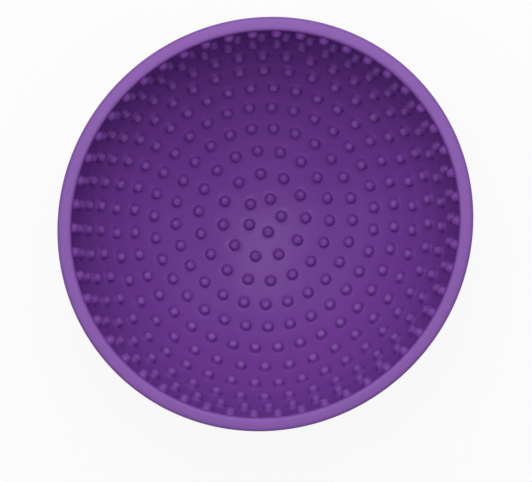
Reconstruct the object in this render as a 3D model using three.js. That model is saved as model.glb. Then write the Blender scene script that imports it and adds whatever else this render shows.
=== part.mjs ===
// A wobble slow feeder bowl: one moulding of soft rubber, open at the top. Its outside is round, so
// that it rocks while a pet licks it, its base is thick, so that it comes upright again, and its
// inside is covered with rings of small round nubs that hold the food back.
// Millimetres, +Z up, with the origin at the middle of the small flat foot that the bowl stands on.

import * as THREE from 'three';
import { mergeGeometries, mergeVertices } from 'three/addons/utils/BufferGeometryUtils.js';

// The bowl
const rimRadius = 83;
const rimWidth = 5.6;
const cavityDepth = 70;
const baseThickness = 8;
const footRadius = 18;
const outerEdgeRadius = 1.5;
const innerEdgeRadius = 1.4;

// One nub: a slightly tapered stud with a domed top
const nubBaseRadius = 2.35;
const nubShoulderRadius = 1.95;
const nubShoulderHeight = 1.8;
const nubHeight = 2.8;

// The rings of nubs, measured along the inner wall: the first ring from the middle of the bottom,
// and the last ring from the rounded edge of the rim
const firstRingArc = 7.4;
const nubRimClearance = 0.45;

// Nubs in each ring, from the middle out, and how far the ring is turned from the +X axis, as a
// share of the angle between two of its nubs
const rings = [
  { nubs: 5, turnShare: -0.05 },
  { nubs: 11, turnShare: -0.11 },
  { nubs: 18, turnShare: -0.21 },
  { nubs: 25, turnShare: -0.17 },
  { nubs: 31, turnShare: 0.43 },
  { nubs: 36, turnShare: -0.39 },
  { nubs: 38, turnShare: -0.46 },
  { nubs: 43, turnShare: -0.14 },
  { nubs: 45, turnShare: -0.22 },
  { nubs: 48, turnShare: 0.19 },
  { nubs: 50, turnShare: 0.09 },
];

// How finely round things are divided
const rimSides = 60;
const outerWallSteps = 8;
const edgeSteps = 3;
const nubSides = 6;

// The inner wall as half of its cross section, from the middle of the bottom up to the rounded edge
// of the rim: a quarter of an ellipse, which ends upright
const bowlHeight = baseThickness + cavityDepth;
const cavityRadius = rimRadius - rimWidth;
const innerWall = new THREE.EllipseCurve(
  0,
  bowlHeight - innerEdgeRadius,
  cavityRadius,
  cavityDepth - innerEdgeRadius,
  -Math.PI / 2,
  0,
);
const innerWallLength = innerWall.getLength();

// A point of the inner wall, with the frame there: along runs up the wall, across runs round the
// bowl, and out points square away from the rubber
function wallFrame(arc, azimuth) {
  const share = arc / innerWallLength;
  const point = innerWall.getPointAt(share);
  const tangent = innerWall.getTangentAt(share);
  const radial = new THREE.Vector3(Math.cos(azimuth), Math.sin(azimuth), 0);
  const up = new THREE.Vector3(0, 0, 1);
  const along = radial.clone().multiplyScalar(tangent.x).addScaledVector(up, tangent.y);
  const across = up.clone().cross(radial);
  const origin = radial.clone().multiplyScalar(point.x).addScaledVector(up, point.y);
  return { origin, along, across, out: along.clone().cross(across) };
}

// Points and triangles of the inside, which has nubs and so is no plain turned shape. Every loop of
// points runs anticlockwise as it is seen from inside the bowl.
const points = [];
const triangles = [];

function addPoint(point) {
  points.push(point);
  return points.length - 1;
}

// A ring of points round the bowl's axis, on the inner wall. A ring at the middle is one point.
function wallCircle(arc, count, firstAzimuth) {
  const circle = [];
  for (let i = 0; i < count; i += 1) {
    circle.push(addPoint(wallFrame(arc, firstAzimuth + (2 * Math.PI * i) / count).origin));
  }
  return { loop: circle, firstAzimuth };
}

// The places in a circle's loop where the cells of a ring of nubs meet: the point that lies nearest
// to the azimuth midway between each two nubs. The last place is the first one, a whole turn on.
function cellPlaces(circle, ring) {
  const places = [];
  for (let i = 0; i < ring.nubs; i += 1) {
    const azimuth = ((ring.turnShare + i - 0.5) * 2 * Math.PI) / ring.nubs;
    places.push(Math.round(((azimuth - circle.firstAzimuth) / (2 * Math.PI)) * circle.loop.length));
  }
  places.push(places[0] + circle.loop.length);
  return places;
}

// The points of a circle from one place to another, both included
function stretch(circle, from, to) {
  const count = circle.loop.length;
  const part = [];
  for (let place = from; place <= to; place += 1) {
    part.push(circle.loop[((place % count) + count) % count]);
  }
  return part;
}

// The points of a loop in the order of their angles round a nub's axis, with the first one again at
// the end
function inOrderRound(frame, loop) {
  const placed = loop.map((point) => {
    const offset = points[point].clone().sub(frame.origin);
    return { point, angle: Math.atan2(offset.dot(frame.across), offset.dot(frame.along)) };
  });
  placed.sort((a, b) => a.angle - b.angle);
  placed.push({ point: placed[0].point, angle: placed[0].angle + 2 * Math.PI });
  return placed;
}

// The angle at the middle of one side of a loop, or no angle after the last side
function middleAngle(placed, side) {
  return side < placed.length - 1 ? (placed[side].angle + placed[side + 1].angle) / 2 : Infinity;
}

// Fills the band between an outer loop and a loop inside it with triangles, one on each side of
// either loop, as they come round the nub's axis
function fillBetween(frame, outerLoop, innerLoop) {
  const outer = inOrderRound(frame, outerLoop);
  const inner = inOrderRound(frame, innerLoop);
  let i = 0;
  let j = 0;
  while (i < outerLoop.length || j < innerLoop.length) {
    if (middleAngle(outer, i) <= middleAngle(inner, j)) {
      triangles.push(outer[i].point, outer[i + 1].point, inner[j].point);
      i += 1;
    } else {
      triangles.push(outer[i].point, inner[j + 1].point, inner[j].point);
      j += 1;
    }
  }
}

// A loop of points round a nub's own axis
function nubLoop(frame, radius, height) {
  const loop = [];
  for (let i = 0; i < nubSides; i += 1) {
    const angle = (2 * Math.PI * i) / nubSides;
    const point = frame.origin.clone();
    point.addScaledVector(frame.along, radius * Math.cos(angle));
    point.addScaledVector(frame.across, radius * Math.sin(angle));
    point.addScaledVector(frame.out, height);
    loop.push(addPoint(point));
  }
  return loop;
}

// One cell of the inner wall: its flat part inside the outline, and the nub that stands in it
function addCell(outline, arc, azimuth) {
  const frame = wallFrame(arc, azimuth);
  const base = nubLoop(frame, nubBaseRadius, 0);
  const shoulder = nubLoop(frame, nubShoulderRadius, nubShoulderHeight);
  const top = addPoint(frame.origin.clone().addScaledVector(frame.out, nubHeight));
  fillBetween(frame, outline, base);
  fillBetween(frame, base, shoulder);
  shoulder.forEach((point, i) => {
    triangles.push(point, shoulder[(i + 1) % nubSides], top);
  });
}

// One ring of cells, between a circle nearer the middle and a circle nearer the rim
function addRing(ring, arc, innerCircle, outerCircle) {
  const innerPlaces = cellPlaces(innerCircle, ring);
  const outerPlaces = cellPlaces(outerCircle, ring);
  for (let i = 0; i < ring.nubs; i += 1) {
    const innerSide = stretch(innerCircle, innerPlaces[i], innerPlaces[i + 1]);
    const outerSide = stretch(outerCircle, outerPlaces[i], outerPlaces[i + 1]);
    const outline = [...new Set([...innerSide, ...outerSide])];
    addCell(outline, arc, ((ring.turnShare + i) * 2 * Math.PI) / ring.nubs);
  }
}

// The inside of the bowl. The rings of nubs are evenly spaced up the wall, and the circle between
// two rings is divided as the ring above it is, with its points midway between that ring's nubs.
function insideGeometry() {
  const lastRingArc = innerWallLength - nubRimClearance - nubBaseRadius;
  const pitch = (lastRingArc - firstRingArc) / (rings.length - 1);
  let innerCircle = wallCircle(0, 1, 0);
  rings.forEach((ring, k) => {
    const arc = firstRingArc + pitch * k;
    const next = rings[k + 1];
    const outerCircle = next
      ? wallCircle(arc + pitch / 2, next.nubs, ((next.turnShare - 0.5) * 2 * Math.PI) / next.nubs)
      : wallCircle(innerWallLength, rimSides, 0);
    addRing(ring, arc, innerCircle, outerCircle);
    innerCircle = outerCircle;
  });
  const geometry = new THREE.BufferGeometry().setFromPoints(points);
  geometry.setIndex(triangles);
  return geometry;
}

// The outside, turned round the axis: the foot, the round wall, and the rim with its two rounded
// edges. The wall is the part of an ellipse that starts at the foot's edge and ends upright.
function outsideGeometry() {
  const wallTop = bowlHeight - outerEdgeRadius;
  const wallStart = Math.acos(footRadius / rimRadius);
  const wallDepth = wallTop / Math.sin(wallStart);
  const wall = new THREE.EllipseCurve(0, wallTop, rimRadius, wallDepth, -wallStart, 0);
  const outerEdge = new THREE.EllipseCurve(
    rimRadius - outerEdgeRadius,
    wallTop,
    outerEdgeRadius,
    outerEdgeRadius,
    0,
    Math.PI / 2,
  );
  const innerEdge = new THREE.EllipseCurve(
    cavityRadius + innerEdgeRadius,
    bowlHeight - innerEdgeRadius,
    innerEdgeRadius,
    innerEdgeRadius,
    Math.PI / 2,
    Math.PI,
  );
  const profile = [
    new THREE.Vector2(0, 0),
    ...wall.getSpacedPoints(outerWallSteps),
    ...outerEdge.getPoints(edgeSteps).slice(1),
    ...innerEdge.getPoints(edgeSteps),
  ];
  const geometry = new THREE.LatheGeometry(profile, rimSides, Math.PI / 2);
  geometry.rotateX(Math.PI / 2);
  geometry.deleteAttribute('normal');
  geometry.deleteAttribute('uv');
  return geometry;
}

const softRubber = new THREE.MeshStandardMaterial({
  name: 'soft_rubber',
  color: new THREE.Color(0.19, 0.057, 0.335),
  roughness: 0.5,
  metalness: 0,
});

const bowlGeometry = mergeVertices(mergeGeometries([insideGeometry(), outsideGeometry()]));
bowlGeometry.computeVertexNormals();
const bowl = new THREE.Mesh(bowlGeometry, softRubber);
bowl.name = 'bowl';

const model = new THREE.Group();
model.add(bowl);

export default model;
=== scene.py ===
import math

import bpy
import numpy as np
from mathutils import Matrix, Vector


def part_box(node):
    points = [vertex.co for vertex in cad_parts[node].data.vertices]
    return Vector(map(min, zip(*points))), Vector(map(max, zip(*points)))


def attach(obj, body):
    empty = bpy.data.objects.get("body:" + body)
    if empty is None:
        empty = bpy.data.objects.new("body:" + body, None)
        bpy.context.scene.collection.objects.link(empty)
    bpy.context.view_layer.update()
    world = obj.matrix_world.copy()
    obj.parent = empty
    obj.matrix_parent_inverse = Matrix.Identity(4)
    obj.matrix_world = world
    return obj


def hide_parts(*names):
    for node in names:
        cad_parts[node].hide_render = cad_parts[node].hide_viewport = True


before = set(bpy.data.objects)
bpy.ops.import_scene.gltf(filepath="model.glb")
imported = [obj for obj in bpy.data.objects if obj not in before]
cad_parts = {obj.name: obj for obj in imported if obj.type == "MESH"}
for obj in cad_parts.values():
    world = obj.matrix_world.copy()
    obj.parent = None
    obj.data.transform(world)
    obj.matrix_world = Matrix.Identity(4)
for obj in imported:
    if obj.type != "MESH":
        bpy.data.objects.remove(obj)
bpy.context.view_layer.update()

# The bowl, from the CAD solid and from the sizes that it is made with
MM = 0.001
bowl_low, bowl_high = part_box("bowl")
RIM_RADIUS = (bowl_high.x - bowl_low.x) / 2
BOWL_HEIGHT = bowl_high.z
RIM_WIDTH = 5.6 * MM
BASE_THICKNESS = 8 * MM
FOOT_RADIUS = 18 * MM
FOOT_EDGE_RADIUS = 1.2 * MM
OUTER_EDGE_RADIUS = 1.5 * MM
INNER_EDGE_RADIUS = 1.4 * MM
CAVITY_RADIUS = RIM_RADIUS - RIM_WIDTH
CAVITY_DEPTH = BOWL_HEIGHT - BASE_THICKNESS

# One nub: a short stud with a small hollow round its foot, steep sides, a well rounded edge and a top
# that rises a little to its tip
NUB_BASE_RADIUS = 2.35 * MM
NUB_SHOULDER_RADIUS = 2.1 * MM
NUB_EDGE_RADIUS = 1.4 * MM
NUB_TOP_RISE = 0.2 * MM
NUB_HEIGHT = 2.8 * MM
NUB_FOOT_FILLET = 0.25 * MM

# The rings of nubs, from the middle out: how far the first lies from the middle of the bottom and the
# last from the top, both along the wall, how many nubs each ring has, and how far it is turned from +X,
# as a share of the angle between two of its nubs
FIRST_RING_ARC = 7.4 * MM
LAST_RING_GAP = 2.8 * MM
RING_NUBS = (5, 11, 18, 25, 31, 36, 38, 43, 45, 48, 50)
RING_TURN_SHARES = (-0.05, -0.11, -0.21, -0.17, 0.43, -0.39, -0.46, -0.14, -0.22, 0.19, 0.09)

# The soft wall stands a little out of round: how much the rim's radius grows towards one azimuth and
# shrinks across it, as a share of the radius
FLEX_SHARE = 0.0165
FLEX_AZIMUTH = math.radians(43.5)

# How finely round things are divided
NUB_SIDES = 20
CELL_SIDE_STEPS = 6
RIM_SIDES = 300
OUTER_WALL_STEPS = 32
WALL_SAMPLES = 4000
EDGE_STEPS = 6
FILLET_STEPS = 2
NUB_EDGE_STEPS = 4
NUB_TOP_STEPS = 2

# The camera: how far it is from the middle of the rim, how far it leans from straight above towards
# +X and +Y, the point of the rim's plane that it is aimed at, and its focal length in millimetres
CAMERA_DISTANCE = 1.2
CAMERA_LEANS = (math.radians(-0.55), math.radians(3.55))
CAMERA_AIM = Vector((0.2 * MM, -6.3 * MM, BOWL_HEIGHT))
CAMERA_LENS = 203.6

# The rubber: its colour in deep and in pale clouds, its gloss, and the orange peel and the fine grain of
# a moulded surface, as the scales of their noise and the strengths and depths of their bumps
RUBBER_DEEP = (0.184, 0.0505, 0.332, 1)
RUBBER_PALE = (0.2, 0.0565, 0.358, 1)
CLOUD_SCALE = 28
CLOUD_DETAIL = 4
CLOUD_EDGES = (0.3, 0.7)
ROUGHNESS_RANGE = (0.27, 0.35)
RUBBER_IOR = 1.41
GLOSS_LEVEL = 0.22
PEEL_SCALE = 260
PEEL_STRENGTH = 0.25
PEEL_DEPTH = 0.06 * MM
GRAIN_SCALE = 900
GRAIN_STRENGTH = 0.3
GRAIN_DEPTH = 0.02 * MM
FINE_DETAIL = 2

# The pale colour painted on the top of the rim, as painted light, and on the tips of the upper nubs, as
# painted highlights: its colour, the share of a nub's height at which it begins, and the heights in the
# bowl between which the nubs come to have it
PAINTED_LIGHT_COLOUR = (0.266, 0.108, 0.446, 1)
HIGHLIGHT_PAINT_NUB_SHARE = 0.72
HIGHLIGHT_PAINT_HEIGHTS = (12 * MM, 32 * MM)

# The floor: white paper with a fine grain, and the share of plain white that the camera sees in it
WHITE = (1, 1, 1, 1)
FLOOR_HALF_SIZE = 15
FLOOR_WHITE = (0.95, 0.95, 0.95, 1)
PAPER_SCALE = 400
PAPER_DETAIL = 3
PAPER_STRENGTH = 0.05
PAPER_DEPTH = 0.1 * MM
CAMERA_WHITE_SHARE = 0.9

# The lamps, named as they lie round the photograph: azimuth from +X and elevation in degrees, distance
# and size in metres, and the radiance of the lamp's face. Then the brightness of the even light.
LAMPS = {
    "overhead": (90, 81, 1.4, 0.5, 0.9),
    "top_high": (90, 75, 1.4, 0.8, 2.2),
    "left_high": (180, 75, 1.4, 0.8, 1.6),
    "right_high": (0, 75, 1.4, 0.8, 1.1),
    "top_middle": (90, 55, 0.8, 0.5, 2.2),
    "bottom_middle": (270, 55, 0.8, 0.5, 0.65),
    "top_left_low": (135, 35, 0.8, 0.5, 1.25),
    "top_right_low": (45, 35, 0.8, 0.5, 1.05),
    "left_low": (180, 35, 0.8, 0.5, 0.95),
    "right_low": (0, 35, 0.8, 0.5, 0.6),
    "top_lowest": (90, 15, 0.8, 0.5, 1.3),
}
WORLD_STRENGTH = 0.06


class Wall:
    """The inner wall. Its cross section is a quarter of an ellipse from the middle of the bottom to the
    rim, and an arc is a length along it from that middle."""

    def __init__(self):
        self.half_width = CAVITY_RADIUS
        self.half_height = CAVITY_DEPTH - INNER_EDGE_RADIUS
        self.centre_height = BOWL_HEIGHT - INNER_EDGE_RADIUS
        self.angles = np.linspace(0, math.pi / 2, WALL_SAMPLES + 1)
        across = self.half_width * np.sin(self.angles)
        down = self.half_height * np.cos(self.angles)
        steps = np.hypot(np.diff(across), np.diff(down))
        self.arcs = np.concatenate([[0], np.cumsum(steps)])
        self.length = self.arcs[-1]

    def frame(self, arc, azimuth):
        """A point of the wall, and the directions up the wall, round the bowl and out of the rubber."""
        angle = np.interp(arc, self.arcs, self.angles)
        radius = self.half_width * math.sin(angle)
        height = self.centre_height - self.half_height * math.cos(angle)
        slope = np.array([self.half_width * math.cos(angle), self.half_height * math.sin(angle)])
        slope /= np.linalg.norm(slope)
        radial = np.array([math.cos(azimuth), math.sin(azimuth), 0])
        up = np.array([0, 0, 1])
        along = radial * slope[0] + up * slope[1]
        across = np.cross(up, radial)
        return radial * radius + up * height, along, across, np.cross(along, across)

    def lift_to_wall(self, start, direction):
        """How far each start point has to go along a direction to lie on the wall."""
        # Seen at a scale that makes the wall a ball of radius 1, this is the nearer root of a quadratic
        scale = np.array([self.half_width, self.half_width, self.half_height])
        centre = np.array([0, 0, self.centre_height])
        from_centre = (start - centre) / scale
        step = direction / scale
        step_squared = step @ step
        towards = from_centre @ step
        beyond = np.sum(from_centre * from_centre, axis=1) - 1
        return (-towards - np.sqrt(towards * towards - step_squared * beyond)) / step_squared


class Skin:
    """Points and faces of the bowl's surface, gathered loop by loop. A loop runs anticlockwise as seen from
    inside the bowl, and a face between two loops lies between an outer loop and one inside it."""

    def __init__(self):
        self.points = []
        self.nub_rises = []
        self.faces = []

    def add_loop(self, points, nub_rise=0):
        """Adds points that all stand at one share of a nub's height above the wall."""
        first = len(self.points)
        self.points.extend(np.atleast_2d(points))
        self.nub_rises.extend([nub_rise] * (len(self.points) - first))
        return list(range(first, len(self.points)))

    def join_alike(self, outer, inner):
        """Four-sided faces between two loops that have as many points."""
        count = len(outer)
        for i in range(count):
            j = (i + 1) % count
            self.faces.append((outer[i], outer[j], inner[j], inner[i]))

    def close(self, loop, point):
        """Triangles between a loop and a point in its middle."""
        count = len(loop)
        for i in range(count):
            self.faces.append((loop[i], loop[(i + 1) % count], point))

    def join_by_angle(self, outer, outer_angles, inner, inner_angles):
        """Triangles between two loops, one on each side of either loop, as they come round."""
        outer, outer_angles = closed_in_order(outer, outer_angles)
        inner, inner_angles = closed_in_order(inner, inner_angles)
        i = 0
        j = 0
        while i < len(outer) - 1 or j < len(inner) - 1:
            if middle_angle(outer_angles, i) <= middle_angle(inner_angles, j):
                self.faces.append((outer[i], outer[i + 1], inner[j]))
                i += 1
            else:
                self.faces.append((outer[i], inner[j + 1], inner[j]))
                j += 1


def closed_in_order(loop, angles):
    """A loop in the order of its angles, with its first point again at the end, a whole turn on."""
    order = np.argsort(angles)
    loop = [loop[i] for i in order]
    angles = [angles[i] for i in order]
    return loop + loop[:1], angles + [angles[0] + 2 * math.pi]


def middle_angle(angles, side):
    """The angle at the middle of one side of a loop, or no angle after the last side."""
    return (angles[side] + angles[side + 1]) / 2 if side < len(angles) - 1 else math.inf


def wall_circle(skin, wall, arc, count, first_azimuth):
    """A circle of points on the inner wall, as its loop and the azimuth of its first point."""
    azimuths = first_azimuth + 2 * math.pi * np.arange(count) / count
    return skin.add_loop([wall.frame(arc, azimuth)[0] for azimuth in azimuths]), first_azimuth


def cell_places(circle, nubs, turn_share):
    """Where the cells of a ring of nubs meet on a circle: the points nearest to midway between nubs."""
    loop, first_azimuth = circle
    places = []
    for i in range(nubs):
        azimuth = (turn_share + i - 0.5) * 2 * math.pi / nubs
        places.append(round((azimuth - first_azimuth) / (2 * math.pi) * len(loop)))
    return places + [places[0] + len(loop)]


def stretch(loop, start, end):
    """The points of a loop from one place to another, both included."""
    return [loop[place % len(loop)] for place in range(start, end + 1)]


def circle_point(skin, circle, place):
    """The point at one place of a circle, where the places go on round it."""
    loop = circle[0]
    return skin.points[loop[place % len(loop)]]


def side_lines(skin, wall, inner_circle, outer_circle, inner_places, outer_places):
    """The lines between neighbouring cells, from the inner circle to the outer one."""
    lines = []
    for i in range(len(inner_places) - 1):
        start = circle_point(skin, inner_circle, inner_places[i])
        end = circle_point(skin, outer_circle, outer_places[i])
        shares = np.arange(1, CELL_SIDE_STEPS)[:, None] / CELL_SIDE_STEPS
        chord = start + (end - start) * shares
        middle = (start + end) / 2
        out = np.array([0, 0, wall.centre_height]) - middle
        out /= np.linalg.norm(out)
        lifts = wall.lift_to_wall(chord, out)
        lines.append(skin.add_loop(chord + lifts[:, None] * out))
    return lines + lines[:1]


def nub_profile():
    """The nub's outline as pairs of radius and height above the wall, from its foot to near its tip."""
    outline = []
    for i in range(FILLET_STEPS + 1):
        turn = math.pi / 2 * i / FILLET_STEPS
        radius = NUB_BASE_RADIUS + NUB_FOOT_FILLET * (1 - math.sin(turn))
        outline.append((radius, NUB_FOOT_FILLET * (1 - math.cos(turn))))
    top_radius = NUB_SHOULDER_RADIUS - NUB_EDGE_RADIUS
    edge_height = NUB_HEIGHT - NUB_TOP_RISE
    for i in range(NUB_EDGE_STEPS + 1):
        turn = math.pi / 2 * i / NUB_EDGE_STEPS
        height = edge_height - NUB_EDGE_RADIUS * (1 - math.sin(turn))
        outline.append((top_radius + NUB_EDGE_RADIUS * math.cos(turn), height))
    for i in range(1, NUB_TOP_STEPS):
        share = 1 - i / NUB_TOP_STEPS
        outline.append((top_radius * share, NUB_HEIGHT - NUB_TOP_RISE * share**2))
    return outline


def add_cell(skin, wall, outline, arc, azimuth):
    """One nub and the piece of wall that it stands in."""
    origin, along, across, out = wall.frame(arc, azimuth)
    turns = 2 * math.pi * np.arange(NUB_SIDES) / NUB_SIDES - math.pi
    offsets = np.array([skin.points[point] for point in outline]) - origin
    outline_angles = np.arctan2(offsets @ across, offsets @ along)
    outline_radii = np.hypot(offsets @ across, offsets @ along)
    order = np.argsort(outline_angles)
    reach = np.interp(turns, outline_angles[order], outline_radii[order], period=2 * math.pi)

    def loop_at(radii, height):
        flat = origin + np.outer(radii * np.cos(turns), along) + np.outer(radii * np.sin(turns), across)
        lifts = wall.lift_to_wall(flat, out) + height
        return skin.add_loop(flat + lifts[:, None] * out, height / NUB_HEIGHT)

    profile = nub_profile()
    foot_radius = profile[0][0]
    halfway = loop_at((reach + foot_radius) / 2, 0)
    skin.join_by_angle(outline, outline_angles, halfway, turns)
    outer = halfway
    for radius, height in profile:
        inner = loop_at(np.full(NUB_SIDES, radius), height)
        skin.join_alike(outer, inner)
        outer = inner
    tip = skin.add_loop(origin + out * NUB_HEIGHT, 1)[0]
    skin.close(outer, tip)


def add_inside(skin, wall):
    """The nubbed inside. Returns the circle of points at its top, where the rim's rounded edge begins."""
    last_ring_arc = wall.length - LAST_RING_GAP
    pitch = (last_ring_arc - FIRST_RING_ARC) / (len(RING_NUBS) - 1)
    inner_circle = wall_circle(skin, wall, 0, 1, 0)
    for k, nubs in enumerate(RING_NUBS):
        arc = FIRST_RING_ARC + pitch * k
        turn_share = RING_TURN_SHARES[k]
        if k + 1 < len(RING_NUBS):
            count = RING_NUBS[k + 1]
            first_azimuth = (RING_TURN_SHARES[k + 1] - 0.5) * 2 * math.pi / count
            halfway_up = arc + pitch / 2
            outer_circle = wall_circle(skin, wall, halfway_up, count * CELL_SIDE_STEPS, first_azimuth)
        else:
            outer_circle = wall_circle(skin, wall, wall.length, RIM_SIDES, 0)
        inner_places = cell_places(inner_circle, nubs, turn_share)
        outer_places = cell_places(outer_circle, nubs, turn_share)
        lines = side_lines(skin, wall, inner_circle, outer_circle, inner_places, outer_places)
        for i in range(nubs):
            inner_side = stretch(inner_circle[0], inner_places[i], inner_places[i + 1])
            outer_side = stretch(outer_circle[0], outer_places[i], outer_places[i + 1])
            outline = list(dict.fromkeys(inner_side + outer_side + lines[i] + lines[i + 1]))
            add_cell(skin, wall, outline, arc, (turn_share + i) * 2 * math.pi / nubs)
        inner_circle = outer_circle
    return inner_circle[0]


def arc_points(centre, radii, start, end, steps):
    """Points of an ellipse's arc in the cross section, from one angle to another, without the first."""
    points = []
    for i in range(1, steps + 1):
        turn = start + (end - start) * i / steps
        points.append((centre[0] + radii[0] * math.cos(turn), centre[1] + radii[1] * math.sin(turn)))
    return points


def outside_profile():
    """The outside from the rim's inner edge, over the flat rim and down the round wall to the foot."""
    quarter = math.pi / 2
    wall_top = BOWL_HEIGHT - OUTER_EDGE_RADIUS
    wall_start = math.acos(FOOT_RADIUS / RIM_RADIUS)
    wall_radii = (RIM_RADIUS, wall_top / math.sin(wall_start))
    inner_centre = (CAVITY_RADIUS + INNER_EDGE_RADIUS, BOWL_HEIGHT - INNER_EDGE_RADIUS)
    outer_centre = (RIM_RADIUS - OUTER_EDGE_RADIUS, wall_top)
    inner_radii = (INNER_EDGE_RADIUS, INNER_EDGE_RADIUS)
    outer_radii = (OUTER_EDGE_RADIUS, OUTER_EDGE_RADIUS)
    profile = arc_points(inner_centre, inner_radii, 2 * quarter, quarter, EDGE_STEPS)
    flat_middle = (inner_centre[0] + outer_centre[0]) / 2
    profile.append((flat_middle, BOWL_HEIGHT))
    profile.append((outer_centre[0], BOWL_HEIGHT))
    profile += arc_points(outer_centre, outer_radii, quarter, 0, EDGE_STEPS)
    profile += arc_points((0, wall_top), wall_radii, 0, -wall_start, OUTER_WALL_STEPS)
    return round_corner(profile) + [(FOOT_RADIUS / 2, 0)]


def round_corner(profile):
    """The profile with the corner at its end, between the round wall and the flat foot, rounded."""
    corner = np.array(profile[-1])
    kept = [point for point in profile if math.dist(point, corner) > FOOT_EDGE_RADIUS]
    start = corner + (np.array(kept[-1]) - corner) / math.dist(kept[-1], corner) * FOOT_EDGE_RADIUS
    end = corner - np.array([FOOT_EDGE_RADIUS, 0])
    for i in range(EDGE_STEPS + 1):
        share = i / EDGE_STEPS
        bend_point = (1 - share) ** 2 * start + 2 * share * (1 - share) * corner + share**2 * end
        kept.append(tuple(bend_point))
    return kept


def add_outside(skin, top_loop):
    """The rim, the outside and the foot, turned round the axis from the circle at the top of the inside."""
    azimuths = 2 * math.pi * np.arange(RIM_SIDES) / RIM_SIDES
    inner = top_loop
    for radius, height in outside_profile():
        heights = np.full(RIM_SIDES, height)
        outer = skin.add_loop(np.stack([radius * np.cos(azimuths), radius * np.sin(azimuths), heights], 1))
        skin.join_alike(outer, inner)
        inner = outer
    middle = skin.add_loop([[0, 0, 0]])[0]
    skin.close(inner[::-1], middle)


def flexed(points):
    """The points with the wall out of round, as a round shell bends without stretching: it moves out or in
    by a share of its radius, half as much round the bowl, and hardly at all near the bottom."""
    radius = np.hypot(points[:, 0], points[:, 1])
    azimuth = np.arctan2(points[:, 1], points[:, 0])
    rise = points[:, 2] / BOWL_HEIGHT
    share = FLEX_SHARE * rise / (2 - rise)
    turn = 2 * (azimuth - FLEX_AZIMUTH)
    radius = radius * (1 + share * np.cos(turn))
    azimuth = azimuth - share / 2 * np.sin(turn)
    return np.stack([radius * np.cos(azimuth), radius * np.sin(azimuth), points[:, 2]], 1)


def make_bowl():
    """The bowl as one closed mesh, which also holds each point's share of a nub's height for the painted
    highlights on the nub tips.
    """
    skin = Skin()
    top_loop = add_inside(skin, Wall())
    add_outside(skin, top_loop)
    mesh = bpy.data.meshes.new("soft_bowl")
    mesh.from_pydata(flexed(np.array(skin.points)).tolist(), [], skin.faces)
    mesh.validate()
    mesh.shade_smooth()
    mesh.attributes.new("nub_rise", "FLOAT", "POINT").data.foreach_set("value", skin.nub_rises)
    bowl = bpy.data.objects.new("soft_bowl", mesh)
    bpy.context.scene.collection.objects.link(bowl)
    return bowl


class Nodes:
    """The node tree of a material or of the world, with one call for a node, its settings and its links."""

    def __init__(self, owner, output):
        owner.use_nodes = True
        self.owner = owner
        self.tree = owner.node_tree
        self.tree.nodes.clear()
        self.output = self.add(output)

    def add(self, kind, settings=None, inputs=None):
        node = self.tree.nodes.new(kind)
        for key, value in (settings or {}).items():
            setattr(node, key, value)
        for key, value in (inputs or {}).items():
            if isinstance(value, bpy.types.NodeSocket):
                self.tree.links.new(value, node.inputs[key])
            else:
                node.inputs[key].default_value = value
        return node

    def show(self, shader):
        self.tree.links.new(shader, self.output.inputs["Surface"])


def material_nodes(name):
    return Nodes(bpy.data.materials.new(name), "ShaderNodeOutputMaterial")


def rubber_material():
    """Soft moulded rubber: satin, with a fine grain, a faint orange peel and a slightly cloudy colour. The
    top of the rim is made paler as painted light, and the tips of the upper nubs as painted highlights."""
    nodes = material_nodes("soft_rubber")
    place = nodes.add("ShaderNodeTexCoord").outputs["Object"]
    height = nodes.add("ShaderNodeSeparateXYZ", inputs={"Vector": place}).outputs["Z"]
    nub_rise = nodes.add("ShaderNodeAttribute", {"attribute_name": "nub_rise"}).outputs["Fac"]

    def noise(scale, detail):
        inputs = {"Vector": place, "Scale": scale, "Detail": detail}
        return nodes.add("ShaderNodeTexNoise", inputs=inputs).outputs["Fac"]

    def spread(value, start, end, low=0, high=1):
        inputs = {"Value": value, "From Min": start, "From Max": end, "To Min": low, "To Max": high}
        return nodes.add("ShaderNodeMapRange", inputs=inputs).outputs["Result"]

    def blend(share, none_of_it, all_of_it):
        inputs = {"Factor": share, "A": none_of_it, "B": all_of_it}
        return nodes.add("ShaderNodeMix", {"data_type": "RGBA"}, inputs).outputs["Result"]

    def bump(relief, strength, depth, before=None):
        inputs = {"Strength": strength, "Distance": depth, "Height": relief}
        if before is not None:
            inputs["Normal"] = before
        return nodes.add("ShaderNodeBump", inputs=inputs).outputs["Normal"]

    clouds = noise(CLOUD_SCALE, CLOUD_DETAIL)
    # Painted highlights: the tips of the nubs high in the bowl are made paler
    on_tip = spread(nub_rise, HIGHLIGHT_PAINT_NUB_SHARE, 1)
    high_up = spread(height, *HIGHLIGHT_PAINT_HEIGHTS)
    painted_highlight_mask = nodes.add("ShaderNodeMath", {"operation": "MULTIPLY"}, {0: on_tip, 1: high_up})
    # Painted light: the top of the rim is made paler
    painted_rim_light_mask = spread(height, BOWL_HEIGHT - INNER_EDGE_RADIUS, BOWL_HEIGHT)
    colour = blend(clouds, RUBBER_DEEP, RUBBER_PALE)
    colour = blend(painted_highlight_mask.outputs["Value"], colour, PAINTED_LIGHT_COLOUR)
    colour = blend(painted_rim_light_mask, colour, PAINTED_LIGHT_COLOUR)
    peel = bump(noise(PEEL_SCALE, FINE_DETAIL), PEEL_STRENGTH, PEEL_DEPTH)
    grain = bump(noise(GRAIN_SCALE, FINE_DETAIL), GRAIN_STRENGTH, GRAIN_DEPTH, peel)
    shader = nodes.add(
        "ShaderNodeBsdfPrincipled",
        inputs={
            "Base Color": colour,
            "Roughness": spread(clouds, *CLOUD_EDGES, *ROUGHNESS_RANGE),
            "Normal": grain,
            "IOR": RUBBER_IOR,
            "Specular IOR Level": GLOSS_LEVEL,
        },
    )
    nodes.show(shader.outputs["BSDF"])
    return nodes.owner


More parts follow.
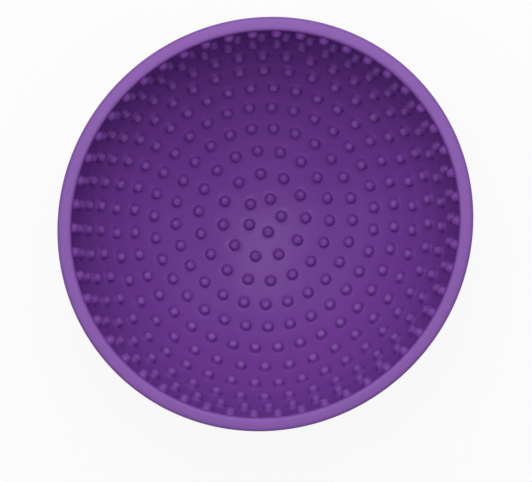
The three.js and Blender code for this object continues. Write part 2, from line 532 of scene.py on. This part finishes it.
def seen_rays(nodes):
    """A value that is 1 for the rays that see white, those of the camera and those from gloss or glass."""
    path = nodes.add("ShaderNodeLightPath").outputs
    rays = path["Is Camera Ray"]
    for other in ("Is Glossy Ray", "Is Transmission Ray"):
        either = nodes.add("ShaderNodeMath", {"operation": "MAXIMUM"}, {0: rays, 1: path[other]})
        rays = either.outputs["Value"]
    return rays


def floor_material():
    """White paper that the camera sees nearly white, and that still takes the bowl's shadow."""
    nodes = material_nodes("white_floor")
    grain_inputs = {"Scale": PAPER_SCALE, "Detail": PAPER_DETAIL}
    grain = nodes.add("ShaderNodeTexNoise", inputs=grain_inputs).outputs["Fac"]
    bump_inputs = {"Strength": PAPER_STRENGTH, "Distance": PAPER_DEPTH, "Height": grain}
    normal = nodes.add("ShaderNodeBump", inputs=bump_inputs).outputs["Normal"]
    paper = nodes.add("ShaderNodeBsdfDiffuse", inputs={"Color": FLOOR_WHITE, "Normal": normal})
    glow = nodes.add("ShaderNodeEmission", inputs={"Color": WHITE, "Strength": 1})
    share_inputs = {0: seen_rays(nodes), 1: CAMERA_WHITE_SHARE}
    share = nodes.add("ShaderNodeMath", {"operation": "MULTIPLY"}, share_inputs).outputs["Value"]
    mix_inputs = {0: share, 1: paper.outputs["BSDF"], 2: glow.outputs["Emission"]}
    nodes.show(nodes.add("ShaderNodeMixShader", inputs=mix_inputs).outputs["Shader"])
    return nodes.owner


def make_floor():
    corner_signs = [(-1, -1), (1, -1), (1, 1), (-1, 1)]
    corners = [(x * FLOOR_HALF_SIZE, y * FLOOR_HALF_SIZE, 0) for x, y in corner_signs]
    mesh = bpy.data.meshes.new("floor")
    mesh.from_pydata(corners, [], [(0, 1, 2, 3)])
    mesh.materials.append(floor_material())
    floor = bpy.data.objects.new("floor", mesh)
    bpy.context.scene.collection.objects.link(floor)


def make_lamp(name, azimuth, elevation, distance, size, radiance):
    """A round lamp that faces the middle of the rim. Its power is its radiance times pi times its area."""
    round_by = math.radians(azimuth)
    up_by = math.radians(elevation)
    level = Vector((math.cos(round_by), math.sin(round_by), 0))
    back = level * math.cos(up_by) + Vector((0, 0, math.sin(up_by)))
    light = bpy.data.lights.new(name, "AREA")
    light.shape = "DISK"
    light.size = size
    light.energy = radiance * math.pi * math.pi * (size / 2) ** 2
    lamp = bpy.data.objects.new(name, light)
    lamp.location = Vector((0, 0, BOWL_HEIGHT)) + back * distance
    lamp.rotation_euler = back.to_track_quat("Z", "Y").to_euler()
    bpy.context.scene.collection.objects.link(lamp)


def make_lights():
    for name, settings in LAMPS.items():
        make_lamp(name, *settings)
    nodes = Nodes(bpy.data.worlds.new("studio"), "ShaderNodeOutputWorld")
    even = nodes.add("ShaderNodeBackground", inputs={"Color": WHITE, "Strength": WORLD_STRENGTH})
    nodes.show(even.outputs["Background"])
    bpy.context.scene.world = nodes.owner


def make_camera():
    data = bpy.data.cameras.new("camera")
    data.lens = CAMERA_LENS
    camera = bpy.data.objects.new("camera", data)
    lean = Vector((math.tan(CAMERA_LEANS[0]), math.tan(CAMERA_LEANS[1]), 1)).normalized()
    camera.location = Vector((0, 0, BOWL_HEIGHT)) + lean * CAMERA_DISTANCE
    back = (camera.location - CAMERA_AIM).normalized()
    right = Vector((0, 1, 0)).cross(back).normalized()
    camera.rotation_euler = Matrix((right, back.cross(right), back)).transposed().to_euler()
    bpy.context.scene.collection.objects.link(camera)
    bpy.context.scene.camera = camera


bpy.context.scene.view_settings.view_transform = "Standard"
make_camera()
make_floor()
make_lights()

bowl = make_bowl()
bowl.data.materials.append(rubber_material())
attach(bowl, "root")
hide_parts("bowl")
